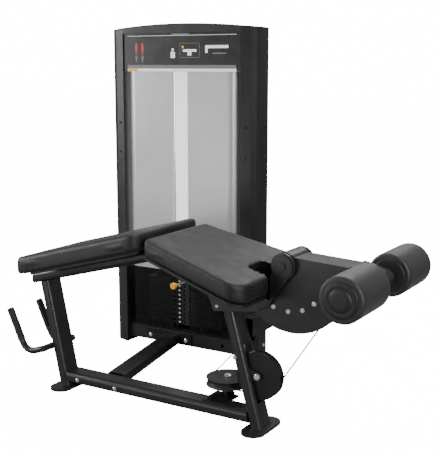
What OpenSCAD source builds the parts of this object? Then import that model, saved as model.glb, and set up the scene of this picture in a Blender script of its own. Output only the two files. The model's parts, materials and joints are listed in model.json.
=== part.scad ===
// Prone leg curl machine: padded bench, curl arm with two rollers, cable drive and a weight stack tower.
// Units are millimetres. X runs along the bench, Z is up, the tower stands behind the bench at +Y.

/* [Bench] */
// Wall thickness of the bench tubes
tube_wall = 3; // [2.5:0.5:4]
// Thickness of the padded cushions
pad_thick = 79; // [70:1:80]
// Half width of the chest pad
chest_half = 248; // [225:1:255]
// Radius of the grip tube at the handles
grip_r = 17; // [16.5:0.5:18]

/* [Curl arm] */
// Radius of the two leg rollers
roller_r = 86; // [65:1:88]
// Inner end of each roller, from the middle plane
roller_in = 92; // [90:1:125]
// Thickness of the cam plates
cam_t = 8; // [6:0.5:8]

/* [Cable] */
// Radius of the steel cable
cable_r = 3; // [2.5:0.1:3.1]

/* [Weight stack] */
// Width of the weight plates
plate_w = 456; // [420:2:470]
// Thickness of one weight plate
plate_t = 22; // [21:0.5:23]
// Radius of the guide rods
rod_r = 11; // [9:0.5:11]

/* [Tower] */
// Sheet thickness of the tower columns
col_wall = 3; // [2:0.5:4]
// Thickness of the shroud panels
skin = 2.5; // [2:0.5:4]

/* [Hidden] */
$fn = 64;
ox = (992 - 787 + roller_r) / 2;            // middle of the whole machine along X
oy = 244.25;           // middle of the whole machine along Y
px = 638; pz = 709;    // arm pivot
ax = 992; az = 680;    // roller axle
vx = 498; vz = 226; rv = 84;   // upright pulley
hx = 295; hy = 86; rh = 86;    // flat pulley
zc = vz - rv;          // height of the low cable run
rcam = 230;            // cable radius on the cam
rrun = rcam + 6.4;     // the straight run meets the cam one cable above the groove layer
xs = -341; ys = 768;   // middle of the weight stack
cx = 50;               // upright cable inside the right column
rb = 30; rt = 34;      // base and top pulleys
zt = 1515;             // top pulley centres
tc = -336.5;           // middle of the tower
pitch = 24;
z0 = 132;
// direct tangent from the upright pulley to the cam
dv = sqrt(pow(px - vx, 2) + pow(pz - vz, 2));
pv = atan2(pz - vz, px - vx) - acos((rv - rrun) / dv);
tvx = vx + rv * cos(pv); tvz = vz + rv * sin(pv);
tcx = px + rrun * cos(pv); tcz = pz + rrun * sin(pv);
// tangent from the flat pulley to the column
dh = sqrt(pow(cx - hx, 2) + pow(ys - hy, 2));
ph = atan2(ys - hy, cx - hx) + acos(rh / dh);
thx = hx + rh * cos(ph); thy = hy + rh * sin(ph);
hh = ph - 90;          // heading of the low cable towards the tower
bx = cx - rb * cos(hh); by = ys - rb * sin(hh); bz = zc + rb;

function chest_top(x) = 709 + 0.266 * (x + 310);
function thigh_top(x) = 736 - 0.26 * (x - 290);
function beam_bot(x) = 515 + 0.266 * (x + 501);
function thigh_under(x) = thigh_top(x) - 80 - 12;

module T() { translate([-ox, -oy, 0]) children(); }
// outline drawn in X and Z, given width w along Y, middle at y
module side(y, w) { translate([0, y, 0]) rotate([90, 0, 0]) linear_extrude(w, center = true) children(); }
module rr(w, h, r) {
  square([w - 2 * r, h], center = true);
  square([w, h - 2 * r], center = true);
  for (i = [-1, 1], j = [-1, 1]) translate([i * (w / 2 - r), j * (h / 2 - r)]) circle(r = r);
}
module oval(w, h, r) { difference() { rr(w, h, r); rr(w - 2 * tube_wall, h - 2 * tube_wall, r - tube_wall); } }
// round bar along Y
module ybar(x, z, r, y1, y2) { translate([x, y1, z]) rotate([-90, 0, 0]) cylinder(r = r, h = y2 - y1); }
module zbar(x, y, r, z1, z2) { translate([x, y, z1]) cylinder(r = r, h = z2 - z1); }
// straight round bar between two points in space
module rod3(a, b, r) {
  d = b - a; l = norm(d);
  translate(a + d * 0.05 / l) rotate([0, acos(d[2] / l), atan2(d[1], d[0])]) cylinder(r = r, h = l - 0.1);
}
// straight, bend, straight, starting along +X and turning to +Y
module bent(l1, R, A, l2, r) {
  rotate([0, 90, 0]) cylinder(r = r, h = l1);
  translate([l1, R, 0]) rotate([0, 0, -90]) rotate_extrude(angle = A) translate([R, 0]) circle(r = r);
  translate([l1 + R * sin(A), R * (1 - cos(A)), 0]) rotate([0, 0, A]) rotate([0, 90, 0]) cylinder(r = r, h = l2);
}
// grooved wheel around Z: cable radius r, half width w, rim f above the cable line
module wheel(r, w, f, bore) {
  rotate_extrude($fn = 96) polygon([[bore, -w], [r + f, -w], [r + f, -w + 2.5], [r - 3.4, -3.6], [r - 3.4, 3.6],
    [r + f, w - 2.5], [r + f, w], [bore, w]]);
}
module button(r, h) { cylinder(r = r, h = h * 0.55); translate([0, 0, h * 0.55]) cylinder(r1 = r, r2 = r * 0.62, h = h * 0.45); }
// button head on a near face, pointing to -Y
module near_head(x, y, z, r, h) { translate([x, y, z]) rotate([90, 0, 0]) difference() { button(r, h); translate([0, 0, h * 0.5]) cylinder(r = r * 0.36, h = h, $fn = 6); } }
module far_head(x, y, z, r, h) { translate([x, y, z]) rotate([-90, 0, 0]) button(r, h); }

// ---------------- bench frame
module feet() { color([0.06, 0.06, 0.065]) T() for (s = [-1, 1]) translate([s * 503, 0, 0])
  linear_extrude(12) { square([100, 130], center = true); for (j = [-1, 1]) { translate([0, j * 65]) circle(r = 50); } } }

module base_rail() { color([0.06, 0.06, 0.065]) T() intersection() {
    translate([-600, 0, 52.5]) rotate([90, 0, 90]) linear_extrude(1200) oval(102, 51, 20);
    side(0, 120) polygon([[-503 - 0.2176 * 15 + 26.2, 27], [-503 - 0.2176 * 66 + 26.2, 78], [503 - 0.278 * 66 - 26.5, 78], [503 - 0.278 * 15 - 26.5, 27]]);
  } }

module leg_left() { color([0.06, 0.06, 0.065]) T() difference() {
  intersection() {
    translate([-503, 0, 12]) rotate([0, -atan(0.2176), 0]) translate([0, 0, -60]) linear_extrude(700) oval(51, 102, 20);
    side(0, 120) polygon([[-800, 12], [-300, 12], [-300, beam_bot(-300)], [-800, beam_bot(-800)]]);
  }
  ybar(-575, 186.7, 15.1, -80, 80);
} }

module leg_right() { color([0.06, 0.06, 0.065]) T() difference() {
  intersection() {
    translate([503, 0, 12]) rotate([0, -atan(0.278), 0]) translate([0, 0, -60]) linear_extrude(700) oval(51, 102, 20);
    translate([200, -100, 12]) cube([500, 200, 483]);
  }
  translate([380, -27, 112]) cube([240, 54, 240]);
} }

module leg_head() { color([0.07, 0.07, 0.075]) T() {
  translate([333, -78, 495]) cube([90, 156, 6]);
  difference() {
    side(0, 156) polygon([[333, 501], [423, 501], [423, thigh_under(423) - 52.8], [333, thigh_under(333) - 52.8]]);
    side(0, 144) polygon([[339, 507], [417, 507], [417, thigh_under(417) - 58.8], [339, thigh_under(339) - 58.8]]);
  }
} }

module chest_beam() { color([0.06, 0.06, 0.065]) T() {
  intersection() {
    translate([-501, 0, beam_bot(-501)]) rotate([0, -atan(0.266), 0]) translate([-400, 0, 25.5]) rotate([90, 0, 90]) linear_extrude(1200) oval(102, 51, 20);
    translate([-664, -60, 400]) cube([726, 120, 400]);
  }
  intersection() {
    translate([-501, 0, beam_bot(-501)]) rotate([0, -atan(0.266), 0]) translate([-400, 0, 25.5]) rotate([90, 0, 90]) linear_extrude(1200) rr(102, 51, 20);
    translate([-672, -60, 400]) cube([8, 120, 400]);
  }
} }

module thigh_beam() { color([0.06, 0.06, 0.065]) T() intersection() {
  translate([290, 0, thigh_under(290)]) rotate([0, atan(0.26), 0]) translate([-400, 0, -25.5]) rotate([90, 0, 90]) linear_extrude(900) oval(102, 51, 20);
  translate([62, -60, 400]) cube([368, 120, 400]);
} }

module chest_plan(e) { translate([(-613 + 66) / 2, 0]) rr(679 - 2 * e, 2 * (chest_half - e), 55); }
// plan of the thigh pad: widens towards the knees, open notch at the knee end
module thigh_plan(e) {
  polygon([[80 + e, -231 + e], [80 + e, 231 - e], [475 - e, 296.8 - e], [475 - e, -296.8 + e]]);
  for (j = [0, 1]) mirror([0, j]) {
    polygon([[474 - e, 66 + e], [558 - e, 66 + e], [580 - e, 88 + e], [580 - e, 233], [510, 233], [498.5, 302 - e], [474 - e, 296.6 - e]]);
    translate([558 - e, 88 + e]) circle(r = 22);
    translate([510, 233]) circle(r = 70 - e);
  }
}
module chest_pad() { color([0.05, 0.05, 0.055]) T() intersection() {
  linear_extrude(1000) chest_plan(0);
  side(0, 700) polygon([[-700, chest_top(-700)], [200, chest_top(200)], [200, chest_top(200) - pad_thick], [-700, chest_top(-700) - pad_thick]]);
} }
module thigh_pad() { color([0.05, 0.05, 0.055]) T() intersection() {
  linear_extrude(1000) thigh_plan(0);
  side(0, 700) polygon([[0, thigh_top(0)], [700, thigh_top(700)], [700, thigh_top(700) - pad_thick], [0, thigh_top(0) - pad_thick]]);
} }
module chest_board() { color([0.09, 0.085, 0.08]) T() intersection() {
  linear_extrude(1000) translate([(-550 + 44) / 2, 0]) rr(594, 2 * (chest_half - 22), 55);
  side(0, 700) polygon([[-700, chest_top(-700) - 80], [200, chest_top(200) - 80], [200, chest_top(200) - 90.2], [-700, chest_top(-700) - 90.2]]);
} }
module thigh_board() { color([0.09, 0.085, 0.08]) T() intersection() {
  linear_extrude(1000) thigh_plan(12);
  side(0, 700) polygon([[0, thigh_top(0) - 80], [700, thigh_top(700) - 80], [700, thigh_under(700) + 0.3], [0, thigh_under(0) + 0.3]]);
} }

module handle_pose(s) { translate([-575, s * 96, 186.7]) rotate([90, 0, 180]) rotate([0, 0, -18.4]) children(); }
module handles() { color([0.06, 0.06, 0.065]) T() {
  ybar(-575, 186.7, 14.9, -109, 109);
  for (s = [-1, 1]) { handle_pose(s) bent(57.7, 60, 83.3, 155, 15); }
} }
module grips() { color([0.04, 0.04, 0.04]) T() for (s = [-1, 1]) handle_pose(s)
  translate([57.7 + 60 * sin(83.3), 60 * (1 - cos(83.3)), 0]) rotate([0, 0, 83.3]) rotate([0, 90, 0]) difference() {
    union() { translate([0, 0, 18]) cylinder(r = grip_r, h = 145); translate([0, 0, 12]) cylinder(r = grip_r + 3, h = 6); translate([0, 0, 163]) cylinder(r1 = grip_r, r2 = grip_r - 4, h = 4); }
    translate([0, 0, -5]) cylinder(r = 15.1, h = 160.1);
  } }

module bracket_shape() {
  polygon([[302, thigh_under(302) - 1], [300, 560], [330, 490], [520, 515], [575, 545], [672, 676], [638, 709], [597, 690], [585, 668], [585, thigh_under(585) - 1]]);
}
module bracket_near() { color([0.06, 0.06, 0.065]) T() difference() { union() { side(-82, 8) bracket_shape(); ybar(px, pz, 50, -87, -77.5); } ybar(px, pz, 28, -100, -60); } }
module bracket_far() { color([0.06, 0.06, 0.065]) T() difference() { union() { side(82, 8) bracket_shape(); ybar(px, pz, 50, 77.5, 87); } ybar(px, pz, 28, 60, 100); } }
module bearings() { color([0.55, 0.56, 0.58]) T() for (s = [-1, 1]) translate([px, s * 81.5, pz]) rotate([90, 0, 0]) difference() {
  cylinder(r = 27.9, h = 13, center = true);
  cylinder(r = 15.3, h = 20, center = true);
} }
module hub_caps() { color([0.05, 0.05, 0.055]) T() for (s = [-1, 1]) translate([px, s * 87.05, pz]) rotate([s > 0 ? -90 : 90, 0, 0]) difference() {
  union() { cylinder(r = 44, h = 7); cylinder(r1 = 17, r2 = 14, h = 12); }
  translate([0, 0, -1]) cylinder(r = 28.3, h = 4);
} }

// ---------------- curl arm
module pivot_shaft() { color([0.6, 0.6, 0.62]) T() ybar(px, pz, 15, -88.5, 88.5); }
module arm_shape() {
  polygon([[604, 746.3], [900, 729.5], [908, 735], [922, 733], [1004, 712.8], [998, 645.6], [930, 640], [774, 646], [652, 656], [604, 663]]);
  translate([px, pz]) circle(r = 50);
  translate([ax, az]) circle(r = 35);
}
module arm_core() { polygon([[690, 734], [900, 722], [945, 710], [950, 655], [930, 648], [774, 654], [690, 662]]); }
module arm() { color([0.06, 0.06, 0.065]) T() difference() {
  side(0, 130) arm_shape();
  side(0, 116) arm_core();
  ybar(px, pz, 15, -90, 90);
  ybar(ax, az, 12.5, -90, 90);
} }
module cam_shape() {
  difference() {
    intersection() {
      translate([668, 679]) circle(r = 235, $fn = 128);
      polygon([[604, 662.6], [488, 528], [420, 440], [560, 380], [760, 380], [980, 480], [980, 545], [884, 583], [862, 642.4], [774, 645.7], [652, 655.7]]);
    }
    for (p = [[588, 539], [652, 528], [713, 541], [761, 573]]) translate(p) circle(r = 5.3);
  }
}
module cam_plates() { color([0.06, 0.06, 0.065]) T() for (s = [-1, 1]) side(s * (62 - cam_t / 2), cam_t) cam_shape(); }
// swept about the pivot from angle a1 to a2 in the XZ plane
module about_pivot(a1, a2) { translate([px, 0, pz]) rotate([90, 0, 0]) rotate([0, 0, a1]) rotate_extrude(angle = a2 - a1, $fn = 180) children(); }
module cam_track() { color([0.05, 0.05, 0.055]) T() difference() {
  about_pivot(-136, -25.5) polygon([[160, -4], [200, -4], [204, -12], [232, -12], [232, -9], [226.6, -3.6], [226.6, 3.6], [232, 9], [232, 12], [204, 12], [200, 4], [160, 4]]);
  for (p = [[588, 539], [652, 528], [713, 541], [761, 573]]) ybar(p[0], p[1], 5.3, -20, 20);
} }
module cam_spacers() { color([0.5, 0.5, 0.52]) T() for (p = [[588, 539], [652, 528], [713, 541], [761, 573]], s = [-1, 1])
  translate([p[0], s * (4 + (58 - cam_t) / 2), p[1]]) rotate([90, 0, 0]) difference() { cylinder(r = 10, h = 58 - cam_t, center = true); cylinder(r = 5.3, h = 80, center = true); } }
module cam_bolts() { color([0.8, 0.8, 0.82]) T() for (p = [[588, 539], [652, 528], [713, 541], [761, 573]]) {
  ybar(p[0], p[1], 5, -62.2, 62.2); near_head(p[0], -62, p[1], 9.5, 6); far_head(p[0], 62, p[1], 9.5, 6); } }
module cam_cable() { color([0.12, 0.12, 0.13]) T() about_pivot(-135, -26.5) translate([rcam, 0]) circle(r = cable_r, $fn = 24); }
module roller_axle() { color([0.7, 0.7, 0.72]) T() ybar(ax, az, 12.5, -344, 344); }
// roller drawn around Z from z = 0 outwards
module roller_body(l) {
  rotate_extrude($fn = 96) polygon([[13.2, 5], [roller_r - 10, 5], [roller_r - 4, 8], [roller_r, 14], [roller_r, l - 14], [roller_r - 4, l - 8], [roller_r - 10, l - 5], [13.2, l - 5]]);
}
module roller_caps(l) {
  for (k = [0, 1]) translate([0, 0, k * (l - 5)]) difference() { cylinder(r = 62, h = 5); translate([0, 0, -1]) cylinder(r = 12.9, h = 7); }
  translate([0, 0, l]) difference() { cylinder(r = 40, h = 4); translate([0, 0, -1]) cylinder(r = 12.9, h = 3); }
}
module at_roller(s) { translate([ax, s * roller_in, az]) rotate([s > 0 ? -90 : 90, 0, 0]) children(); }
module roller_near() { color([0.2, 0.2, 0.21]) T() at_roller(-1) roller_body(351 - roller_in); }
module roller_far() { color([0.2, 0.2, 0.21]) T() at_roller(1) roller_body(351 - roller_in); }
module caps_near() { color([0.05, 0.05, 0.05]) T() at_roller(-1) roller_caps(351 - roller_in); }
module caps_far() { color([0.05, 0.05, 0.05]) T() at_roller(1) roller_caps(351 - roller_in); }

// ---------------- pulleys
module pulley_v() { color([0.08, 0.08, 0.085]) T() translate([vx, 0, vz]) rotate([90, 0, 0]) wheel(rv, 17, 16, 8.4); }
module pulley_h() { color([0.08, 0.08, 0.085]) T() translate([hx, hy, zc]) wheel(rh, 17, 7, 8.4); }
module pulley_base() { color([0.08, 0.08, 0.085]) T() translate([bx, by, bz]) rotate([0, 0, hh]) rotate([90, 0, 0]) wheel(rb, 8, 4.4, 5.4); }
module pulley_top_right() { color([0.08, 0.08, 0.085]) T() translate([cx - rt, ys, zt]) rotate([90, 0, 0]) wheel(rt, 8, 5, 5.4); }
module pulley_top_mid() { color([0.08, 0.08, 0.085]) T() translate([xs + rt, ys, zt]) rotate([90, 0, 0]) wheel(rt, 8, 5, 5.4); }
module pulley_brackets() { color([0.07, 0.07, 0.075]) T() {
  // straps held in the slot of the right leg
  for (s = [-1, 1]) side(s * 24.5, 5) difference() {
    union() { polygon([[425, 208], [425, 262], [498, 244], [498, 208]]); translate([vx, vz]) circle(r = 18); }
    translate([vx, vz]) circle(r = 8.1);
  }
  // stand of the flat pulley on the base rail
  difference() {
    union() { translate([240, -34, 78]) cube([110, 120, 7]); translate([hx, hy, 78]) cylinder(r = 30, h = 7); translate([hx, hy, 85]) cylinder(r = 15, h = 36); }
    translate([hx, hy, 60]) cylinder(r = 8.1, h = 80);
  }
  // fork of the base pulley, from the back wall of the column
  translate([bx, by, bz]) rotate([0, 0, hh]) for (s = [-1, 1]) difference() {
    translate([-14, s * 12.5 - 2, -14]) cube([99, 4, 28]);
    rotate([90, 0, 0]) cylinder(r = 5.1, h = 60, center = true);
  }
  // hangers of the top pulleys
  for (x = [cx - rt, xs + rt], s = [-1, 1]) difference() {
    translate([x - 18, ys + s * 12.5 - 2, zt - 16]) cube([36, 4, 1572 - zt + 16]);
    ybar(x, zt, 5.1, ys - 40, ys + 40);
  }
} }
module pulley_bolts() { color([0.78, 0.78, 0.8]) T() {
  ybar(vx, vz, 8, -27.2, 27.2); near_head(vx, -27, vz, 13, 9); far_head(vx, 27, vz, 13, 9);
  zbar(hx, hy, 8, 72, 161.2); translate([hx, hy, 161]) button(15, 8); translate([hx, hy, 69]) cylinder(r = 14, h = 9, $fn = 6);
  translate([bx, by, bz]) rotate([0, 0, hh]) rotate([90, 0, 0]) { cylinder(r = 5, h = 31, center = true); for (s = [-1, 1]) translate([0, 0, s * 16.5]) cylinder(r = 8, h = 4, center = true); }
  for (x = [cx - rt, xs + rt]) { ybar(x, zt, 5, ys - 14.6, ys + 14.6); for (s = [-1, 1]) ybar(x, zt, 8, ys + s * 17 - 2.4, ys + s * 17 + 2.4); }
} }

// ---------------- cables
module cable_run() { color([0.12, 0.12, 0.13]) T() {
  rod3([tcx, 0, tcz], [tvx, 0, tvz], cable_r);
  translate([vx, 0, vz]) rotate([90, 0, 0]) rotate([0, 0, -90]) rotate_extrude(angle = pv + 90, $fn = 96) translate([rv, 0]) circle(r = cable_r, $fn = 24);
  rod3([vx, 0, zc], [hx, 0, zc], cable_r);
  translate([hx, hy, zc]) rotate([0, 0, ph]) rotate_extrude(angle = 270 - ph, $fn = 96) translate([rh, 0]) circle(r = cable_r, $fn = 24);
  rod3([thx, thy, zc], [bx, by, zc], cable_r);
  translate([bx, by, bz]) rotate([0, 0, hh]) rotate([90, 0, 0]) rotate([0, 0, -90]) rotate_extrude(angle = 90, $fn = 96) translate([rb, 0]) circle(r = cable_r, $fn = 24);
  zbar(cx, ys, cable_r, bz + 0.05, zt - 0.05);
  translate([cx - rt, ys, zt]) rotate([90, 0, 0]) rotate_extrude(angle = 90, $fn = 96) translate([rt, 0]) circle(r = cable_r, $fn = 24);
  rod3([cx - rt, ys, zt + rt], [xs + rt, ys, zt + rt], cable_r);
  translate([xs + rt, ys, zt]) rotate([90, 0, 0]) rotate([0, 0, 90]) rotate_extrude(angle = 90, $fn = 96) translate([rt, 0]) circle(r = cable_r, $fn = 24);
} }
module cable_drop() { color([0.12, 0.12, 0.13]) T() zbar(xs, ys, cable_r, 447, zt); }

// ---------------- weight stack
module plate_cut(z) {
  zbar(xs, ys, 14, z - 5, z + 60);
  for (s = [-1, 1]) zbar(xs + s * 90, ys, rod_r + 0.8, z - 5, z + 60);
}
module plate_block(z, t) { translate([xs, ys, z]) linear_extrude(t) rr(plate_w, 104, 6); }
module plates() { color([0.1, 0.1, 0.105]) T() for (k = [0:8]) difference() {
  plate_block(z0 + k * pitch, plate_t); plate_cut(z0 + k * pitch);
  ybar(xs, z0 + k * pitch + 12, 5.2, ys - 80, ys - 10);
} }
module top_plate() { color([0.1, 0.1, 0.105]) T() difference() {
  plate_block(z0 + 9 * pitch, plate_t);
  for (s = [-1, 1]) zbar(xs + s * 90, ys, rod_r + 0.8, z0 + 200, z0 + 300);
  zbar(xs, ys, 12.6, z0 + 200, z0 + 300);
  ybar(xs, z0 + 9 * pitch + 12, 5.2, ys - 80, ys - 10);
} }
module head_plate() { color([0.1, 0.1, 0.105]) T() difference() {
  union() { translate([xs, ys, 372]) linear_extrude(40) rr(plate_w - 90, 90, 6); for (s = [-1, 1]) zbar(xs + s * 90, ys, 22, 412, 420); zbar(xs, ys, 16, 412, 447); }
  for (s = [-1, 1]) zbar(xs + s * 90, ys, rod_r + 0.8, 300, 500);
} }
module stem() { color([0.65, 0.65, 0.67]) T() difference() {
  zbar(xs, ys, 12.5, 136, 372);
  for (k = [0:9]) ybar(xs, z0 + k * pitch + 12, 5.2, ys - 20, ys + 20);
} }
module pin() { color([0.75, 0.75, 0.77]) T() ybar(xs, z0 + 9 * pitch + 12, 4.5, 634, ys + 10.5); }
module pin_knob() { color([0.9, 0.55, 0.1]) T() translate([xs, 640, z0 + 9 * pitch + 12]) rotate([90, 0, 0]) difference() {
  union() { cylinder(r = 9, h = 14); translate([0, 0, 14]) cylinder(r1 = 11, r2 = 17, h = 6); translate([0, 0, 20]) cylinder(r = 17, h = 10); translate([0, 0, 30]) cylinder(r1 = 17, r2 = 13, h = 4); }
  translate([0, 0, -1]) cylinder(r = 4.5, h = 7);
} }
module guide_rods() { color([0.82, 0.82, 0.84]) T() for (s = [-1, 1]) zbar(xs + s * 90, ys, rod_r, 100, 1530); }
module bumpers() { color([0.03, 0.03, 0.03]) T() for (s = [-1, 1]) difference() {
  zbar(xs + s * 90, ys, 28, 100, 131.5); zbar(xs + s * 90, ys, rod_r + 0.2, 90, 140);
} }

// ---------------- tower
module col_outer() { polygon([[9, 677], [60, 690], [84, 703], [94, 722], [94, 798], [84, 817], [60, 830], [9, 843.5]]); }
module col_inner(t) { polygon([[9 + t, 677 + 1.3 * t], [60 - 0.25 * t, 690 + t], [84 - 0.7 * t, 703 + 0.85 * t], [94 - t, 722 + 0.3 * t],
  [94 - t, 798 - 0.3 * t], [84 - 0.7 * t, 817 - 0.85 * t], [60 - 0.25 * t, 830 - t], [9 + t, 843.5 - 1.3 * t]]); }
module column_right() { color([0.06, 0.06, 0.065]) T() difference() {
  linear_extrude(1615) difference() { col_outer(); col_inner(col_wall); }
  translate([40, 660, 118]) cube([54.01 - 12, 60, 54]);
  translate([0, 735, 1440]) cube([20, 66, 132.5]);
} }
module column_left() { color([0.06, 0.06, 0.065]) T() translate([2 * tc, 0, 0]) mirror([1, 0, 0])
  linear_extrude(1615) difference() { col_outer(); col_inner(col_wall); } }
module crossbeam_low() { color([0.06, 0.06, 0.065]) T() difference() {
  translate([-682, 700, 27]) cube([691, 124, 73]);
  translate([-690, 704, 31]) cube([710, 116, 65]);
  for (x = [-543, -321]) ybar(x, 55, 6.3, 690, 710);
  ybar(-104, 59, 9, 690, 710);
} }
module crossbeam_top() { color([0.07, 0.07, 0.075]) T() { for (s = [-1, 1]) translate([xs + s * 90 - 15, ys + 11.3, 1480]) cube([30, 5, 92]);
  difference() {
  translate([-682, 738, 1572]) cube([691, 60, 40]);
  translate([-690, 742, 1576]) cube([710, 52, 32]);
} } }
module tower_plan(e) { for (k = [0, 1]) translate([tc, 0]) mirror([k, 0]) polygon([[-1, 677 + e], [345.5, 677 + e], [396.5 - 0.3 * e, 690 + e], [420.5 - 0.7 * e, 703 + 0.8 * e], [430.5 - e, 722],
  [430.5 - e, 798], [420.5 - 0.7 * e, 817 - 0.8 * e], [396.5 - 0.3 * e, 830 - e], [345.5, 843.5 - e], [-1, 843.5 - e]]); }
module crown() { color([0.06, 0.06, 0.065]) T() difference() {
  intersection() {
    translate([0, 0, 1615]) linear_extrude(80) tower_plan(0);
    translate([tc, 760, 1661 - 3738]) rotate([90, 0, 0]) cylinder(r = 3738, h = 400, center = true, $fn = 360);
  }
  intersection() {
    translate([0, 0, 1600]) linear_extrude(80) tower_plan(4);
    translate([tc, 760, 1661 - 3738]) rotate([90, 0, 0]) cylinder(r = 3734, h = 400, center = true, $fn = 360);
  }
} }
module placard() { color([0.03, 0.03, 0.035]) T() translate([-681, 683.5, 1428.5]) cube([689, 5, 186]); }
module header_strip() { color([0.6, 0.6, 0.6]) T() { translate([-653, 679, 1443]) cube([637, 4, 18]); translate([-653, 679, 1429]) cube([637, 4.5, 14]); } }
module shroud_shape() {
  // right hand panel: return at the middle gap, flat front, quarter round outer edge
  translate([-294, 683]) square([skin, 18]);
  translate([-294, 683]) square([226, skin]);
  translate([-68, 731]) intersection() { difference() { circle(r = 48); circle(r = 48 - skin); } translate([0, -60]) square([60, 60]); }
}
module shroud_right() { color([0.72, 0.72, 0.72]) T() translate([0, 0, 421]) linear_extrude(1007) shroud_shape(); }
module shroud_left() { color([0.72, 0.72, 0.72]) T() translate([2 * xs, 0, 421]) mirror([1, 0, 0]) linear_extrude(1007) shroud_shape(); }
module lower_guards() { color([0.07, 0.07, 0.075]) T() {
  translate([0, 0, 120]) linear_extrude(300) shroud_shape();
  translate([2 * xs, 0, 120]) mirror([1, 0, 0]) linear_extrude(300) shroud_shape();
} }
module rear_shroud() { color([0.85, 0.85, 0.85]) T() translate([-681, 838, 104]) cube([689, skin, 1510]); }

// ---------------- ties between bench and tower
module link_tube() { color([0.06, 0.06, 0.065]) T() {
  intersection() {
    translate([-280, 51, 52.5]) rotate([0, 0, atan2(643, -131)]) translate([-80, 0, 0]) rotate([90, 0, 90]) linear_extrude(900) oval(102, 51, 20);
    translate([-700, 57, 0]) cube([800, 637, 120]);
  }
  translate([-352, 51, 40]) cube([144, 6, 25]);
  difference() { translate([-568, 694, 30]) cube([280, 6, 60]); for (x = [-543, -321]) ybar(x, 55, 6.3, 690, 710); }
} }
module rear_tie() { color([0.06, 0.06, 0.065]) T() difference() {
  union() { translate([390, 51, 363]) cube([44, 739, 75]); translate([94, 746, 363]) cube([340, 44, 75]); }
  translate([393, 40, 366]) cube([38, 747, 69]);
  translate([90, 749, 366]) cube([341, 38, 69]);
  translate([380, 40, 350]) cube([10, 12, 100]);
} }
module frame_bolts() { color([0.8, 0.8, 0.82]) T() {
  for (x = [-419, -207]) near_head(x, -51, 50, 9, 6);
  near_head(408, -51, 300, 9, 6);
  near_head(345, -86, 512, 7, 5);
  for (x = [-543, -321]) { near_head(x, 694, 55, 10, 6); ybar(x, 55, 6, 693.8, 703.8); }
  translate([94, 770, 80]) rotate([0, 90, 0]) button(8, 5);
  translate([2 * tc - 94, 770, 80]) rotate([0, -90, 0]) button(8, 5);
} }

feet();
base_rail();
leg_left();
leg_right();
leg_head();
chest_beam();
thigh_beam();
chest_board();
thigh_board();
chest_pad();
thigh_pad();
handles();
grips();
bracket_near();
bracket_far();
bearings();
hub_caps();
pivot_shaft();
arm();
cam_plates();
cam_track();
cam_spacers();
cam_bolts();
cam_cable();
roller_axle();
roller_near();
roller_far();
caps_near();
caps_far();
pulley_v();
pulley_h();
pulley_base();
pulley_top_right();
pulley_top_mid();
pulley_brackets();
pulley_bolts();
cable_run();
cable_drop();
plates();
top_plate();
head_plate();
stem();
pin();
pin_knob();
guide_rods();
bumpers();
column_right();
column_left();
crossbeam_low();
crossbeam_top();
crown();
placard();
header_strip();
shroud_right();
shroud_left();
lower_guards();
rear_shroud();
link_tube();
rear_tie();
frame_bolts();
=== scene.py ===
import json
import math
import random
import bpy
import bmesh
from mathutils import Vector, Matrix
from mathutils.bvhtree import BVHTree


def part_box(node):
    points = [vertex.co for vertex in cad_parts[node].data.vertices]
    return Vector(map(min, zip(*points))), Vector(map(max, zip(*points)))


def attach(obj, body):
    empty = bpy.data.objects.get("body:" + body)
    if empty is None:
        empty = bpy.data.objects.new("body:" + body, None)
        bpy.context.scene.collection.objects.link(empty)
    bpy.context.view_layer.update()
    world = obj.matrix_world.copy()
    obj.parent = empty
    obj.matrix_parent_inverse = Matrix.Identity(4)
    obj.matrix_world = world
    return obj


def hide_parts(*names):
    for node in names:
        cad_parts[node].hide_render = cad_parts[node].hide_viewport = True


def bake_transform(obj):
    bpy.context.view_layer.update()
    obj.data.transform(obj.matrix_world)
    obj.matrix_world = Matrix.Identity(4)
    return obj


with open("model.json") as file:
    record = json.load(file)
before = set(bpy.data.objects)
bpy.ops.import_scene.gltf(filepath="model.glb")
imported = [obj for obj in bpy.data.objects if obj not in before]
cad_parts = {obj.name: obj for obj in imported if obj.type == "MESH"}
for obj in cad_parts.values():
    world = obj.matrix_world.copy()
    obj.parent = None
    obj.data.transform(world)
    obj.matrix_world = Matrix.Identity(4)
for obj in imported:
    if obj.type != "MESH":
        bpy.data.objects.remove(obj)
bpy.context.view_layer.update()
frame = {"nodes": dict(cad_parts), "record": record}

nodes = frame["nodes"]
OX, OY = 0.1455, 0.24425          # row origin, measured from the bench's own middle


def at(x, y, z):
    return Vector((x - OX, y - OY, z))


scene = bpy.context.scene
col = scene.collection

# ------------------------------------------------------------------ camera
cam = bpy.data.cameras.new("cam")
cam.sensor_fit = "HORIZONTAL"
cam.sensor_width = 36.0
cam.lens = 912.0 * 36.0 / 440.0
cam_o = bpy.data.objects.new("cam", cam)
col.objects.link(cam_o)
cam_o.location = at(2.19, -3.098, 1.4626)
cam_o.rotation_euler = (math.radians(90 - 10.13), 0, math.radians(31.28))
scene.camera = cam_o


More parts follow.
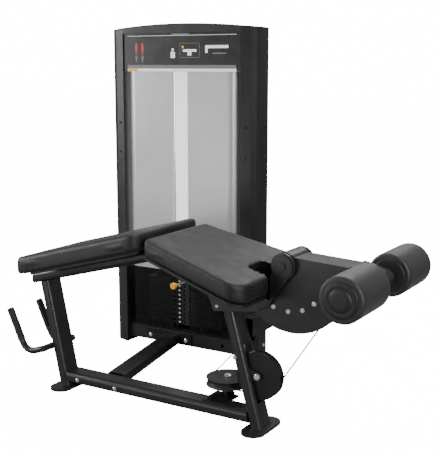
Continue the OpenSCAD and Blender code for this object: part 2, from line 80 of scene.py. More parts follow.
# ------------------------------------------------------------------ materials
def mat(name, base, rough, metal=0.0, spec=0.5, grain=0.0, grain_scale=900.0, grain_kind="noise",
        mottle=0.12, mottle_scale=6.0, rough_var=0.06, rough_scale=14.0, coat=0.0, coat_rough=0.1,
        sheen=0.0, wear=0.0, brushed=None, fine=0.0, alpha=1.0, bump_dist=0.0006):
    m = bpy.data.materials.new(name)
    m.use_nodes = True
    nt = m.node_tree
    nt.nodes.clear()
    out = nt.nodes.new("ShaderNodeOutputMaterial")
    b = nt.nodes.new("ShaderNodeBsdfPrincipled")
    nt.links.new(b.outputs["BSDF"], out.inputs["Surface"])
    b.inputs["Metallic"].default_value = metal
    b.inputs["Specular IOR Level"].default_value = spec
    b.inputs["Coat Weight"].default_value = coat
    b.inputs["Coat Roughness"].default_value = coat_rough
    b.inputs["Sheen Weight"].default_value = sheen
    b.inputs["Sheen Roughness"].default_value = 0.4
    b.inputs["Alpha"].default_value = alpha
    tc = nt.nodes.new("ShaderNodeTexCoord")
    mp = nt.nodes.new("ShaderNodeMapping")
    nt.links.new(tc.outputs["Object"], mp.inputs["Vector"])
    if brushed:
        mp.inputs["Scale"].default_value = brushed
    # colour, broken up softly
    n1 = nt.nodes.new("ShaderNodeTexNoise")
    n1.inputs["Scale"].default_value = mottle_scale
    n1.inputs["Detail"].default_value = 5.0
    nt.links.new(tc.outputs["Object"], n1.inputs["Vector"])
    r1 = nt.nodes.new("ShaderNodeValToRGB")
    dark = [c * (1 - mottle) for c in base]
    lite = [min(1.0, c * (1 + mottle)) for c in base]
    r1.color_ramp.elements[0].position = 0.3
    r1.color_ramp.elements[1].position = 0.7
    r1.color_ramp.elements[0].color = (*dark, 1)
    r1.color_ramp.elements[1].color = (*lite, 1)
    nt.links.new(n1.outputs["Fac"], r1.inputs["Fac"])
    colour = r1.outputs["Color"]
    if wear > 0:
        g = nt.nodes.new("ShaderNodeNewGeometry")
        wr = nt.nodes.new("ShaderNodeValToRGB")
        wr.color_ramp.elements[0].position = 0.52
        wr.color_ramp.elements[1].position = 0.62
        wr.color_ramp.elements[0].color = (0, 0, 0, 1)
        wr.color_ramp.elements[1].color = (wear, wear, wear, 1)
        nt.links.new(g.outputs["Pointiness"], wr.inputs["Fac"])
        mx = nt.nodes.new("ShaderNodeMixRGB")
        mx.blend_type = "MIX"
        mx.inputs["Color2"].default_value = (*[min(1, c * 3 + 0.05) for c in base], 1)
        nt.links.new(wr.outputs["Color"], mx.inputs["Fac"])
        nt.links.new(colour, mx.inputs["Color1"])
        colour = mx.outputs["Color"]
    nt.links.new(colour, b.inputs["Base Color"])
    # roughness, smudged
    n2 = nt.nodes.new("ShaderNodeTexNoise")
    n2.inputs["Scale"].default_value = rough_scale
    n2.inputs["Detail"].default_value = 6.0
    nt.links.new(mp.outputs["Vector"], n2.inputs["Vector"])
    mr = nt.nodes.new("ShaderNodeMapRange")
    mr.inputs["From Min"].default_value = 0.3
    mr.inputs["From Max"].default_value = 0.7
    mr.inputs["To Min"].default_value = max(0.02, rough - rough_var)
    mr.inputs["To Max"].default_value = min(1.0, rough + rough_var)
    nt.links.new(n2.outputs["Fac"], mr.inputs["Value"])
    nt.links.new(mr.outputs["Result"], b.inputs["Roughness"])
    # surface relief
    if grain > 0:
        if grain_kind == "leather":
            v = nt.nodes.new("ShaderNodeTexVoronoi")
            v.feature = "DISTANCE_TO_EDGE"
            v.inputs["Scale"].default_value = grain_scale
            warp = nt.nodes.new("ShaderNodeTexNoise")
            warp.inputs["Scale"].default_value = grain_scale * 0.25
            add = nt.nodes.new("ShaderNodeMixRGB")
            add.blend_type = "ADD"
            add.inputs["Fac"].default_value = 0.006
            nt.links.new(mp.outputs["Vector"], add.inputs["Color1"])
            nt.links.new(mp.outputs["Vector"], warp.inputs["Vector"])
            nt.links.new(warp.outputs["Color"], add.inputs["Color2"])
            nt.links.new(add.outputs["Color"], v.inputs["Vector"])
            cr = nt.nodes.new("ShaderNodeValToRGB")
            cr.color_ramp.elements[0].position = 0.0
            cr.color_ramp.elements[1].position = 0.22
            nt.links.new(v.outputs["Distance"], cr.inputs["Fac"])
            height = cr.outputs["Color"]
        else:
            n3 = nt.nodes.new("ShaderNodeTexNoise")
            n3.inputs["Scale"].default_value = grain_scale
            n3.inputs["Detail"].default_value = 3.0
            nt.links.new(mp.outputs["Vector"], n3.inputs["Vector"])
            height = n3.outputs["Fac"]
        bp = nt.nodes.new("ShaderNodeBump")
        bp.inputs["Strength"].default_value = grain
        bp.inputs["Distance"].default_value = bump_dist
        nt.links.new(height, bp.inputs["Height"])
        last = bp
        if fine > 0:
            n4 = nt.nodes.new("ShaderNodeTexNoise")
            n4.inputs["Scale"].default_value = 9.0
            n4.inputs["Detail"].default_value = 2.0
            nt.links.new(tc.outputs["Object"], n4.inputs["Vector"])
            b2 = nt.nodes.new("ShaderNodeBump")
            b2.inputs["Strength"].default_value = fine
            b2.inputs["Distance"].default_value = 0.01
            nt.links.new(n4.outputs["Fac"], b2.inputs["Height"])
            nt.links.new(bp.outputs["Normal"], b2.inputs["Normal"])
            last = b2
        nt.links.new(last.outputs["Normal"], b.inputs["Normal"])
    return m


M = {
    "frame_black": mat("powder_black", (0.012, 0.012, 0.0125), 0.32, spec=0.5, grain=0.25, grain_scale=700, mottle=0.10, wear=0.20, rough_var=0.04),
    "pad_black": mat("pad_vinyl", (0.011, 0.011, 0.0115), 0.48, spec=0.5, grain=0.35, grain_scale=420, grain_kind="leather", mottle=0.14, mottle_scale=5, sheen=0.06, rough_var=0.07, fine=0.05, bump_dist=0.0004),
    "board": mat("board_stain", (0.010, 0.0095, 0.009), 0.6, grain=0.3, grain_scale=60, brushed=(1, 12, 1), mottle=0.3, mottle_scale=20),
    "roller_vinyl": mat("roller_vinyl", (0.022, 0.022, 0.0225), 0.46, spec=0.6, grain=0.30, grain_scale=520, grain_kind="leather", mottle=0.10, mottle_scale=9, sheen=0.12, bump_dist=0.0003),
    "black_plastic": mat("black_plastic", (0.014, 0.014, 0.014), 0.36, grain=0.2, grain_scale=1200, mottle=0.08, bump_dist=0.0002),
    "rubber": mat("rubber", (0.011, 0.011, 0.011), 0.55, grain=0.35, grain_scale=1500, mottle=0.15, bump_dist=0.0003),
    "chrome": mat("chrome", (0.92, 0.92, 0.93), 0.14, metal=1.0, grain=0.04, grain_scale=300, mottle=0.03, rough_var=0.04, bump_dist=0.0001),
    "steel": mat("machined_steel", (0.48, 0.48, 0.50), 0.30, metal=1.0, grain=0.12, grain_scale=260, brushed=(1, 1, 30), mottle=0.08, bump_dist=0.0001),
    "plate_black": mat("plate_black", (0.012, 0.012, 0.0125), 0.36, grain=0.12, grain_scale=500, mottle=0.12, wear=0.3, bump_dist=0.0002),
    "cable": mat("cable_sheath", (0.020, 0.020, 0.020), 0.35, grain=0.3, grain_scale=800, mottle=0.1, bump_dist=0.0002),
    "shroud_silver": mat("shroud_silver", (0.60, 0.60, 0.595), 0.36, metal=0.30, grain=0.02, grain_scale=1400, mottle=0.04, rough_var=0.03, bump_dist=0.0001),
    "shroud_white": mat("shroud_white", (0.90, 0.90, 0.88), 0.40, grain=0.06, grain_scale=900, mottle=0.02, bump_dist=0.0001),
    "orange": mat("pin_orange", (0.95, 0.50, 0.035), 0.30, grain=0.1, grain_scale=900, mottle=0.08, coat=0.3, bump_dist=0.0001),
    "smoked": mat("smoked_panel", (0.012, 0.012, 0.013), 0.14, spec=0.5, grain=0.03, grain_scale=300, mottle=0.05, alpha=0.42, bump_dist=0.0001),
    "disc_grey": mat("disc_grey", (0.035, 0.035, 0.036), 0.46, grain=0.2, grain_scale=800, mottle=0.08, bump_dist=0.0002),
    "white": mat("print_white", (0.80, 0.80, 0.80), 0.45, grain=0.05, grain_scale=900, mottle=0.02, bump_dist=0.0001),
    "grey": mat("print_grey", (0.20, 0.20, 0.205), 0.42, grain=0.05, grain_scale=900, mottle=0.03, bump_dist=0.0001),
    "red": mat("print_red", (0.45, 0.03, 0.03), 0.42, grain=0.05, grain_scale=900, mottle=0.06, bump_dist=0.0001),
    "seam": mat("seam_thread", (0.014, 0.014, 0.014), 0.6, grain=0.6, grain_scale=900, mottle=0.2, bump_dist=0.0004),
    # rear panel: white, with painted emission above and painted shade below
    "rear_painted_glow_and_shade": mat("rear_painted_glow_and_shade", (0.90, 0.90, 0.88), 0.40, grain=0.06, grain_scale=900, mottle=0.02, bump_dist=0.0001),
    "foam_face": mat("roller_end", (0.014, 0.014, 0.0145), 0.42, grain=0.25, grain_scale=520, grain_kind="leather", mottle=0.1, bump_dist=0.0003),
}
# painted light: sets emission on a material that is no lamp, so it shines brighter than its lighting gives
def glow(m, colour, strength):
    b = [n for n in m.node_tree.nodes if n.type == "BSDF_PRINCIPLED"][0]
    b.inputs["Emission Color"].default_value = colour
    b.inputs["Emission Strength"].default_value = strength


def paint_rear_glow_and_shade(m):
    """painted light: the panel shines by emission behind the gap between the upper panels, and is painted near-black as
    shade behind the weight plates
    """
    t = m.node_tree
    b = [n for n in t.nodes if n.type == "BSDF_PRINCIPLED"][0]
    tc = t.nodes.new("ShaderNodeTexCoord")
    sep = t.nodes.new("ShaderNodeSeparateXYZ")
    mr = t.nodes.new("ShaderNodeMapRange")
    mr.inputs["From Min"].default_value = 0.19
    mr.inputs["From Max"].default_value = 0.27
    t.links.new(tc.outputs["Generated"], sep.inputs["Vector"])
    t.links.new(sep.outputs["Z"], mr.inputs["Value"])
    # painted shade: lower down the colour mixes to near-black, standing in for the weight plates' shade
    mix = t.nodes.new("ShaderNodeMix")
    mix.data_type = "RGBA"
    [i for i in mix.inputs if i.name == "A" and i.type == "RGBA"][0].default_value = (0.01, 0.01, 0.01, 1)
    t.links.new(mr.outputs["Result"], [i for i in mix.inputs if i.type == "VALUE"][0])
    lk = b.inputs["Base Color"].links
    if lk:
        src = lk[0].from_socket
        t.links.new(src, [i for i in mix.inputs if i.name == "B" and i.type == "RGBA"][0])
    t.links.new([o for o in mix.outputs if o.type == "RGBA"][0], b.inputs["Base Color"])
    # painted light: emission grows with height, so the upper panel shines as if lit from behind
    st = t.nodes.new("ShaderNodeMath")
    st.operation = "MULTIPLY"
    st.inputs[1].default_value = 1.2
    t.links.new(mr.outputs["Result"], st.inputs[0])
    b.inputs["Emission Color"].default_value = (1.0, 1.0, 0.98, 1.0)
    t.links.new(st.outputs["Value"], b.inputs["Emission Strength"])


# painted light on the rear panel: emission above, painted shade below
paint_rear_glow_and_shade(M["rear_painted_glow_and_shade"])
# painted highlight on the chrome bolts and tips; painted light on the white print, the orange pin knob and print, and
# the red print
glow(M["chrome"], (1.0, 1.0, 1.0, 1.0), 0.14)
glow(M["white"], (1.0, 1.0, 1.0, 1.0), 0.45)
glow(M["orange"], (1.0, 0.48, 0.03, 1.0), 0.22)
glow(M["red"], (0.8, 0.04, 0.04, 1.0), 0.12)
for s in frame["record"]["subparts"]:
    o = nodes[s["node"]]
    m = M.get(s["material_slot"], M["frame_black"])
    if s["node"] == "pulley_h":
        m = M["disc_grey"]
    if s["node"] == "rear_shroud":
        m = M["rear_painted_glow_and_shade"]
    if len(o.material_slots) == 0:
        o.data.materials.append(m)
    else:
        for sl in o.material_slots:
            sl.material = m


# ------------------------------------------------------------------ helpers
def new_obj(name, me, m, body):
    o = bpy.data.objects.new(name, me)
    col.objects.link(o)
    o.data.materials.clear()
    o.data.materials.append(m)
    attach(o, body)
    return o


def smooth(o):
    for p in o.data.polygons:
        p.use_smooth = True


def lathe(name, prof, segs, place, m, body, closed=True):
    """prof is a list of (radius, height); turned round Z, then placed."""
    bm = bmesh.new()
    rings = []
    for r, h in prof:
        if r < 1e-6:
            rings.append([bm.verts.new(place @ Vector((0, 0, h)))])
        else:
            rings.append([bm.verts.new(place @ Vector((r * math.cos(2 * math.pi * k / segs), r * math.sin(2 * math.pi * k / segs), h))) for k in range(segs)])
    pairs = list(zip(rings, rings[1:]))
    if closed:
        pairs.append((rings[-1], rings[0]))
    for a, b in pairs:
        if len(a) == 1 and len(b) == 1:
            continue
        for k in range(segs):
            k2 = (k + 1) % segs
            if len(a) == 1:
                bm.faces.new([a[0], b[k2], b[k]])
            elif len(b) == 1:
                bm.faces.new([a[k], a[k2], b[0]])
            else:
                bm.faces.new([a[k], a[k2], b[k2], b[k]])
    bmesh.ops.recalc_face_normals(bm, faces=bm.faces)
    me = bpy.data.meshes.new(name)
    bm.to_mesh(me)
    bm.free()
    o = new_obj(name, me, m, body)
    smooth(o)
    return o


def arc(cx, cy, r, a0, a1, n):
    return [(cx + r * math.cos(math.radians(a0 + (a1 - a0) * i / n)), cy + r * math.sin(math.radians(a0 + (a1 - a0) * i / n))) for i in range(n + 1)]


def tube(name, pts, r, m, body, sides=8, closed=True):
    bm = bmesh.new()
    n = len(pts)
    rings = []
    for i, p in enumerate(pts):
        a = pts[(i - 1) % n] if (closed or i > 0) else p
        b = pts[(i + 1) % n] if (closed or i < n - 1) else p
        t = (b - a).normalized()
        u = t.cross(Vector((0, 0, 1)))
        if u.length < 1e-4:
            u = t.cross(Vector((0, 1, 0)))
        u.normalize()
        w = t.cross(u)
        rings.append([bm.verts.new(p + r * (u * math.cos(2 * math.pi * k / sides) + w * math.sin(2 * math.pi * k / sides))) for k in range(sides)])
    last = n if closed else n - 1
    for i in range(last):
        a, b = rings[i], rings[(i + 1) % n]
        for k in range(sides):
            bm.faces.new([a[k], a[(k + 1) % sides], b[(k + 1) % sides], b[k]])
    if not closed:
        bm.faces.new(rings[0]); bm.faces.new(list(reversed(rings[-1])))
    bmesh.ops.recalc_face_normals(bm, faces=bm.faces)
    me = bpy.data.meshes.new(name)
    bm.to_mesh(me)
    bm.free()
    o = new_obj(name, me, m, body)
    smooth(o)
    return o


def slab(name, x0, x1, z0, z1, y0, y1, m, bevel=0.0006, body="machine_frame"):
    bm = bmesh.new()
    bmesh.ops.create_cube(bm, size=1.0)
    a, b = at(x0, y0, z0), at(x1, y1, z1)
    for v in bm.verts:
        v.co = Vector([(a[i] + b[i]) / 2 + v.co[i] * (b[i] - a[i]) for i in range(3)])
    if bevel > 0:
        bmesh.ops.bevel(bm, geom=bm.edges[:], offset=bevel, segments=2, affect="EDGES", profile=0.5)
    bmesh.ops.recalc_face_normals(bm, faces=bm.faces)
    me = bpy.data.meshes.new(name)
    bm.to_mesh(me)
    bm.free()
    return new_obj(name, me, m, body)


# ------------------------------------------------------------------ padded goods
def chest_top(x): return 0.709 + 0.266 * (x + 0.310)
def thigh_top(x): return 0.736 - 0.26 * (x - 0.290)


def rounded(corners, step=0.008):
    """corners: (x, y, radius), anticlockwise; returns a closed line of points."""
    out = []
    n = len(corners)
    for i in range(n):
        p = Vector(corners[i][:2]); r = corners[i][2]
        a = (Vector(corners[i - 1][:2]) - p).normalized()
        b = (Vector(corners[(i + 1) % n][:2]) - p).normalized()
        half = math.acos(max(-1, min(1, a.dot(b)))) / 2
        d = r / math.tan(half)
        c = p + (a + b).normalized() * (r / math.sin(half))
        s, e = p + a * d, p + b * d
        a0, a1 = math.atan2(s.y - c.y, s.x - c.x), math.atan2(e.y - c.y, e.x - c.x)
        da = (a1 - a0 + math.pi) % (2 * math.pi) - math.pi
        k = max(3, int(abs(da) * r / step))
        for j in range(k + 1):
            t = a0 + da * j / k
            out.append(Vector((c.x + r * math.cos(t), c.y + r * math.sin(t))))
    dense = []
    for i in range(len(out)):
        p, q = out[i], out[(i + 1) % len(out)]
        k = max(1, int((q - p).length / step))
        for j in range(k):
            dense.append(p + (q - p) * j / k)
    return dense


def chest_outline(e):
    h = 0.248 - e
    return rounded([(-0.613 + e, -h, 0.055 - e * 0.5), (0.066 - e, -h, 0.055 - e * 0.5), (0.066 - e, h, 0.055 - e * 0.5), (-0.613 + e, h, 0.055 - e * 0.5)])


def thigh_outline(e):
    k = 0.1667
    def w(x): return 0.231 + k * (x - 0.080) - e
    right = 0.580 - e
    return rounded([(0.080 + e, -w(0.080 + e), 0.022), (right, -w(right), 0.075), (right, -0.066 - e, 0.020 - e * 0.3),
                    (0.475 - e, -0.066 - e, 0.018), (0.475 - e, 0.066 + e, 0.018), (right, 0.066 + e, 0.020 - e * 0.3),
                    (right, w(right), 0.075), (0.080 + e, w(0.080 + e), 0.022)])


def cushion(name, node, outline, top, thick, edge, crown, body):
    """Closed pad with a crowned top, rounded top edge and a band round its sides, then swollen a little as cloth."""
    inset = 0.0045
    rings = []
    bm = bmesh.new()
    # (inset from the outline, height below the top plane)
    prof = [(inset + 0.010, thick - 0.0010), (inset + 0.003, thick - 0.004), (inset, thick - 0.012)]
    prof += [(inset - 0.0005, thick * 0.5), (inset, edge + 0.010)]
    for i in range(1, 7):
        a = math.pi / 2 * i / 6
        prof.append((inset + edge * (1 - math.cos(a)), 0.003 + edge * (1 - math.sin(a))))
    base = outline(0.0)
    n = len(base)
    cen = sum(base, Vector((0, 0))) / n
    area = sum(base[i].x * base[(i + 1) % n].y - base[(i + 1) % n].x * base[i].y for i in range(n))
    sgn = 1 if area > 0 else -1
    def normal(i):
        t = (base[(i + 1) % n] - base[i - 1]).normalized()
        return Vector((t.y, -t.x)) * sgn
    nn = [normal(i) for i in range(n)]
    for e, dz in prof:
        ring = []
        for i in range(n):
            q = base[i] - nn[i] * e
            ring.append(bm.verts.new(at(q.x, q.y, top(q.x) - dz)))
        rings.append(ring)
    for a, b in zip(rings, rings[1:]):
        for i in range(n):
            j = (i + 1) % n
            bm.faces.new([a[i], a[j], b[j], b[i]])
    bm.faces.new(rings[-1])
    bm.faces.new(list(reversed(rings[0])))
    bmesh.ops.triangulate(bm, faces=[f for f in bm.faces if len(f.verts) > 4])
    bmesh.ops.recalc_face_normals(bm, faces=bm.faces)
    me = bpy.data.meshes.new(name)
    bm.to_mesh(me)
    bm.free()
    o = new_obj(name, me, M["pad_black"], body)
    md = o.modifiers.new("remesh", "REMESH")
    md.mode = "VOXEL"
    md.voxel_size = 0.0065
    md.use_smooth_shade = True
    bpy.context.view_layer.objects.active = o
    for x in bpy.context.selected_objects:
        x.select_set(False)
    o.select_set(True)
    bpy.ops.object.modifier_apply(modifier="remesh")
    # soften the voxel steps
    bm = bmesh.new()
    bm.from_mesh(o.data)
    for _ in range(3):
        bmesh.ops.smooth_vert(bm, verts=bm.verts, factor=0.5, use_axis_x=True, use_axis_y=True, use_axis_z=True)
    bm.to_mesh(o.data)
    bm.free()
    start = [v.co.copy() for v in o.data.vertices]
    cl = o.modifiers.new("cloth", "CLOTH")
    st = cl.settings
    st.quality = 4
    st.mass = 0.3
    st.tension_stiffness = st.compression_stiffness = 25
    st.shear_stiffness = 10
    st.bending_stiffness = 4
    st.use_pressure = True
    st.uniform_pressure_force = 4.0
    st.effector_weights.gravity = 0.0
    cl.point_cache.frame_start, cl.point_cache.frame_end = 1, 16
    for f in range(1, 17):
        scene.frame_set(f)
    dg = bpy.context.evaluated_depsgraph_get()
    ev = o.evaluated_get(dg)
    moved = [v.co.copy() for v in ev.data.vertices]
    o.modifiers.remove(cl)
    scene.frame_set(1)
    cap = 0.0035
    for v, s, t in zip(o.data.vertices, start, moved):
        d = t - s
        if d.length > cap:
            d = d * (cap / d.length)
        v.co = s + d
    sub = o.modifiers.new("sub", "SUBSURF")
    sub.levels = sub.render_levels = 1
    bpy.ops.object.modifier_apply(modifier="sub")
    # a soft crown on the top, and nothing outside the solid's own space
    lo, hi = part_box(node)
    for v in o.data.vertices:
        x, y = v.co.x + OX, v.co.y + OY
        h = v.co.z - (top(x) - thick)
        lim = thick - 0.0008
        if h > lim:
            v.co.z -= (h - lim)
        for i in range(3):
            v.co[i] = min(max(v.co[i], lo[i] + 0.0008), hi[i] - 0.0008)
    smooth(o)
    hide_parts(node)
    # seams round the top edge and the bottom edge, laid on the surface
    bm = bmesh.new()
    bm.from_mesh(o.data)
    tree = BVHTree.FromBMesh(bm)
    for k, (e, dz) in enumerate([(0.0045, 0.0225), (0.004, thick - 0.010)]):
        pts = []
        for i in range(n):
            q = base[i] + nn[i] * 0.004
            p, nrm, _, _ = tree.find_nearest(at(q.x, q.y, top(q.x) - dz))
            pts.append(p - nrm * 0.0002)
        # ease out the jumps at the corners
        for _ in range(2):
            pts = [(pts[i - 1] + pts[i] * 2 + pts[(i + 1) % n]) / 4 for i in range(n)]
        tube(name + "_seam_%d" % k, pts, 0.0011, M["seam"], body, sides=8)
    bm.free()
    return o


cushion("chest_cushion", "chest_pad", chest_outline, chest_top, 0.079, 0.016, 0.0, "machine_frame")
cushion("thigh_cushion", "thigh_pad", thigh_outline, thigh_top, 0.079, 0.014, 0.0, "machine_frame")


# ------------------------------------------------------------------ rollers
def roller(name, node, cap_node, s, body):
    """Foam roller in a vinyl sleeve, with moulded end caps."""
    L = 0.259
    place = Matrix.Translation(at(0.992, s * 0.092, 0.680)) @ Matrix.Rotation(math.radians(-90 * s), 4, "X")
    R = 0.0855
    prof = [(0.0135, 0.0055), (0.055, 0.0055)]
    prof += [(0.060, 0.0058)]
    prof += [(R - 0.013 + x, 0.0185 + y) for x, y in arc(0, 0, 0.013, -88, 0, 8)]
    for i in range(1, 12):
        t = i / 12
        prof.append((R + 0.0003 * math.sin(math.pi * t), 0.0185 + (L - 0.037) * t))
    prof += [(R - 0.013 + x, L - 0.0185 + y) for x, y in arc(0, 0, 0.013, 0, 88, 8)]
    prof += [(0.060, L - 0.0058), (0.055, L - 0.0055), (0.0135, L - 0.0055)]
    sleeve = lathe(name, prof, 112, place, M["roller_vinyl"], body)
    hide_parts(node)
    # sewn ring where the sleeve turns over the end, both ends
    for k, h in enumerate((0.0095, L - 0.0095)):
        rr = R - 0.0058
        pts = [place @ Vector((rr * math.cos(2 * math.pi * i / 96), rr * math.sin(2 * math.pi * i / 96), h)) for i in range(96)]
        tube(name + "_seam_%d" % k, pts, 0.0009, M["seam"], body)
    # end caps: outer one dished with a raised middle
    z = L - 0.0053
    outer = [(0.0, z), (0.064, z), (0.0655, z + 0.0012), (0.065, z + 0.0030), (0.062, z + 0.0042), (0.050, z + 0.0046), (0.044, z + 0.0036), (0.0415, z + 0.0036),
             (0.0402, z + 0.0062), (0.0385, z + 0.0082), (0.036, z + 0.0090), (0.020, z + 0.0092), (0.0, z + 0.0092)]
    c1 = lathe(name + "_cap_out", outer, 96, place, M["foam_face"], body, closed=False)
    z = 0.0053
    inner = [(0.0134, z), (0.063, z), (0.0645, z - 0.0012), (0.064, z - 0.0030), (0.061, z - 0.0044), (0.022, z - 0.0050), (0.0134, z - 0.0050)]
    c2 = lathe(name + "_cap_in", inner, 96, place, M["foam_face"], body)
    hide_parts(cap_node)
    return sleeve


roller("roller_sleeve_near", "roller_near", "caps_near", -1, "roller_near_set")
roller("roller_sleeve_far", "roller_far", "caps_far", 1, "roller_far_set")

# ------------------------------------------------------------------ handle grips
for s, nm in ((-1, "near"), (1, "far")):
    base = Matrix.Translation(at(-0.575, s * 0.096, 0.1867)) @ Matrix.Rotation(math.pi, 4, "Z") @ Matrix.Rotation(math.pi / 2, 4, "X")
    base = base @ Matrix.Rotation(math.radians(-18.4), 4, "Z")
    a = math.radians(83.3)
    base = base @ Matrix.Translation((0.0577 + 0.060 * math.sin(a), 0.060 * (1 - math.cos(a)), 0)) @ Matrix.Rotation(a, 4, "Z") @ Matrix.Rotation(math.pi / 2, 4, "Y")
    prof = [(0.0151, 0.0125), (0.0185, 0.0125), (0.0196, 0.0140), (0.0196, 0.0165), (0.0182, 0.0180), (0.0168, 0.0186)]
    for i in range(34):
        h = 0.022 + i * 0.0041
        prof += [(0.0168, h), (0.01645, h + 0.0008), (0.01645, h + 0.0016), (0.0168, h + 0.0024)]
    prof += [(0.0168, 0.1615), (0.0160, 0.1635), (0.0135, 0.1640)]
    g = lathe("grip_" + nm, prof, 48, base, M["rubber"], "machine_frame")
    tip = [(0.0, 0.1600), (0.0133, 0.1600), (0.0134, 0.1648), (0.0118, 0.1662), (0.0060, 0.1668), (0.0, 0.1669)]
    lathe("grip_tip_" + nm, tip, 40, base, M["chrome"], "machine_frame", closed=False)
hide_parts("grips")

# ------------------------------------------------------------------ header trim
Y = 0.6835
slab("header_strip_grey", -0.653, -0.016, 1.4435, 1.4605, 0.6795, 0.6833, M["grey"])
slab("header_strip_white", -0.653, -0.016, 1.4292, 1.4430, 0.6795, 0.6833, M["white"])
hs = slab("header_strip_orange", -0.651, -0.590, 1.4300, 1.4422, 0.6790, 0.6800, M["orange"])
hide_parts("header_strip")
slab("header_line", -0.653, -0.016, 1.6020, 1.6040, 0.6825, 0.6836, M["white"], bevel=0.0003)
slab("header_seam", -0.3605, -0.3585, 1.4295, 1.4425, 0.6790, 0.6798, M["black_plastic"], bevel=0.0002)


def drop_shape(name, x, z, w, h, m, y):
    """a plain leaf-shaped patch, standing for the placard's picture"""
    bm = bmesh.new()
    n = 28
    front, back = [], []
    for k in range(n):
        t = 2 * math.pi * k / n
        dx = w * math.sin(t) * (0.65 + 0.35 * math.cos(t))
        dz = h * math.cos(t)
        front.append(bm.verts.new(at(x + dx, y, z + dz)))
        back.append(bm.verts.new(at(x + dx, y + 0.0012, z + dz)))
    bm.faces.new(front)
    bm.faces.new(list(reversed(back)))
    for k in range(n):
        bm.faces.new([front[k], front[(k + 1) % n], back[(k + 1) % n], back[k]])
    bmesh.ops.recalc_face_normals(bm, faces=bm.faces)
    me = bpy.data.meshes.new(name)
    bm.to_mesh(me)
    bm.free()
    return new_obj(name, me, m, "machine_frame")


for k, x in enumerate((-0.600, -0.562)):
    drop_shape("header_leaf_red_%d" % k, x, 1.535, 0.012, 0.034, M["red"], 0.6826)
    drop_shape("header_leaf_grey_%d" % k, x, 1.492, 0.009, 0.020, M["grey"], 0.6826)
# plain shapes where the real machine has its pictures
slab("header_mark_0", -0.392, -0.366, 1.494, 1.524, 0.6826, 0.6836, M["white"], bevel=0.0004)
slab("header_mark_1", -0.385, -0.373, 1.527, 1.541, 0.6826, 0.6836, M["white"], bevel=0.0004)
fx0, fx1, fz0, fz1 = -0.338, -0.222, 1.496, 1.566
for k, (x0, x1, z0, z1) in enumerate(((fx0, fx1, fz1 - 0.0022, fz1), (fx0, fx1, fz0, fz0 + 0.0022), (fx0, fx0 + 0.0022, fz0, fz1), (fx1 - 0.0022, fx1, fz0, fz1))):
    slab("header_frame_%d" % k, x0, x1, z0, z1, 0.6826, 0.6836, M["grey"], bevel=0.0002)
slab("header_mark_2", -0.318, -0.240, 1.524, 1.536, 0.6826, 0.6836, M["white"], bevel=0.003)
slab("header_mark_3", -0.292, -0.270, 1.506, 1.524, 0.6826, 0.6836, M["white"], bevel=0.0004)
slab("header_mark_4", -0.326, -0.314, 1.541, 1.553, 0.6826, 0.6836, M["orange"], bevel=0.0004)
slab("header_mark_5", -0.190, -0.060, 1.540, 1.554, 0.6826, 0.6836, M["white"], bevel=0.003)
slab("header_mark_6", -0.190, -0.176, 1.518, 1.540, 0.6826, 0.6836, M["white"], bevel=0.002)
slab("header_mark_7", -0.150, -0.070, 1.512, 1.520, 0.6826, 0.6836, M["grey"], bevel=0.002)
slab("header_mark_8", -0.385, -0.285, 1.6045, 1.6125, 0.6822, 0.6836, M["grey"], bevel=0.0004)

# ------------------------------------------------------------------ the cable above the stack
# held by the top pulley at one end and by the stack at the other; built as one fixed mesh at its rest length, which
# does not shorten as the stack rises
bm = bmesh.new()
rows, sides = 56, 20
grid = []
for i in range(rows + 1):
    z = 1.5144 + (0.4476 - 1.5144) * i / rows
    r = 0.00285 if 0 < i < rows else 0.0026
    grid.append([bm.verts.new(at(-0.341 + r * math.cos(2 * math.pi * k / sides), 0.768 + r * math.sin(2 * math.pi * k / sides), z)) for k in range(sides)])
for i in range(rows):
    for k in range(sides):
        bm.faces.new((grid[i][k], grid[i + 1][k], grid[i + 1][(k + 1) % sides], grid[i][(k + 1) % sides]))
bm.faces.new(grid[0])
bm.faces.new(list(reversed(grid[-1])))
bmesh.ops.recalc_face_normals(bm, faces=bm.faces)
me = bpy.data.meshes.new("drop_line")
bm.to_mesh(me)
bm.free()
drop_line = bpy.data.objects.new("drop_line", me)
col.objects.link(drop_line)
drop_line.data.materials.append(M["cable"])
for p in drop_line.data.polygons:
    p.use_smooth = len(p.vertices) == 4
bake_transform(drop_line)
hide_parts("cable_drop")

# ------------------------------------------------------------------ small trim
# dark button bolts on the columns' softened corners
for sgn, nm in ((1, "r"), (-1, "l")):
    for i, z in enumerate((1.020, 1.170)):
        for k, (x, y, ax_, ay_) in enumerate(((0.4305, 0.7675, 1.0, 0.0), (0.371, 0.6834, 0.25, -0.97))):
            d = Vector((sgn * ax_, ay_, 0)).normalized()
            p = at(-0.3365 + sgn * x, y, z)
            place = Matrix.Translation(p) @ d.to_track_quat("Z", "Y").to_matrix().to_4x4()
            lim = 0.0028 if k == 0 else 0.0034
            lathe("column_bolt_%s%d%d" % (nm, i, k), [(0.0, -0.001), (0.0082, -0.001), (0.0082, 0.0010), (0.0070, lim * 0.8), (0.0040, lim), (0.0036, lim * 0.55), (0.0, lim * 0.5)],
                  28, place, M["black_plastic"], "machine_frame", closed=False)
# floor plate between the columns, behind the lower guards
slab("tower_tray", -0.672, -0.002, 0.1045, 0.1075, 0.702, 0.834, M["frame_black"])
# a plain light tick beside each plate's hole
for k in range(9):
    slab("plate_tick_%d" % k, -0.376, -0.368, 0.1410 + 0.024 * k, 0.1475 + 0.024 * k, 0.7152, 0.7166, M["white"], bevel=0.0004)
slab("plate_tick_9", -0.376, -0.368, 0.1410 + 0.216, 0.1475 + 0.216, 0.7152, 0.7166, M["white"], bevel=0.0004, body="stack")

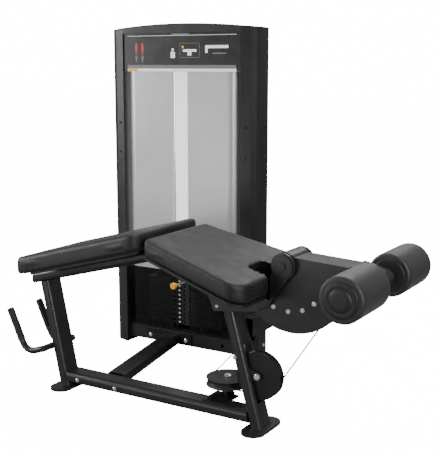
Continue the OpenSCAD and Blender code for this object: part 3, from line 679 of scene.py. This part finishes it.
# ------------------------------------------------------------------ floor and light
bpy.ops.mesh.primitive_plane_add(size=60, location=(0, 0, 0))
floor = bpy.context.object
floor.name = "floor"
fm = mat("floor", (0.90, 0.90, 0.90), 0.8, mottle=0.005, spec=0.2)
nt = fm.node_tree
fb = [n for n in nt.nodes if n.type == "BSDF_PRINCIPLED"][0]
fb.inputs["Emission Color"].default_value = (1, 1, 1, 1)
fb.inputs["Emission Strength"].default_value = 15.0
fo = [n for n in nt.nodes if n.type == "OUTPUT_MATERIAL"][0]
lp = nt.nodes.new("ShaderNodeLightPath")
soft = nt.nodes.new("ShaderNodeBsdfDiffuse")
soft.inputs["Color"].default_value = (0.16, 0.16, 0.16, 1)
mixs = nt.nodes.new("ShaderNodeMixShader")
nt.links.new(lp.outputs["Is Camera Ray"], mixs.inputs["Fac"])
nt.links.new(soft.outputs["BSDF"], mixs.inputs[1])
nt.links.new(fb.outputs["BSDF"], mixs.inputs[2])
nt.links.new(mixs.outputs["Shader"], fo.inputs["Surface"])
floor.data.materials.append(fm)

w = bpy.data.worlds.new("world")
scene.world = w
w.use_nodes = True
wn = w.node_tree
bg = wn.nodes["Background"]
bg.inputs[0].default_value = (1, 1, 1, 1)
bg.inputs[1].default_value = 0.24
bg2 = wn.nodes.new("ShaderNodeBackground")
bg2.inputs[0].default_value = (1, 1, 1, 1)
bg2.inputs[1].default_value = 16.0
wl = wn.nodes.new("ShaderNodeLightPath")
wm = wn.nodes.new("ShaderNodeMixShader")
wn.links.new(wl.outputs["Is Camera Ray"], wm.inputs["Fac"])
wn.links.new(bg.outputs["Background"], wm.inputs[1])
wn.links.new(bg2.outputs["Background"], wm.inputs[2])
wn.links.new(wm.outputs["Shader"], wn.nodes["World Output"].inputs["Surface"])


def area(name, loc, target, size, size_y, power, colour=(1, 1, 1)):
    l = bpy.data.lights.new(name, "AREA")
    l.shape = "RECTANGLE"
    l.size, l.size_y = size, size_y
    l.energy = power
    l.color = colour
    o = bpy.data.objects.new(name, l)
    col.objects.link(o)
    o.location = loc
    o.rotation_euler = (Vector(target) - Vector(loc)).to_track_quat("-Z", "Y").to_euler()
    return o


area("top", (0.2, 0.6, 4.2), (0.2, 0.2, 0.5), 3.0, 2.4, 120)
area("front_left", (-3.9, -1.9, 1.9), (-0.2, 0.3, 0.8), 0.9, 2.2, 110)
area("front_right", (3.4, -2.4, 1.8), (0.1, 0.3, 0.8), 0.6, 2.6, 100)
area("front_low", (-1.6, -3.4, 0.5), (-0.3, 0.5, 0.9), 2.4, 0.7, 22)
area("back", (-0.8, 3.4, 3.4), (0, 0, 0.8), 3.0, 1.2, 50)
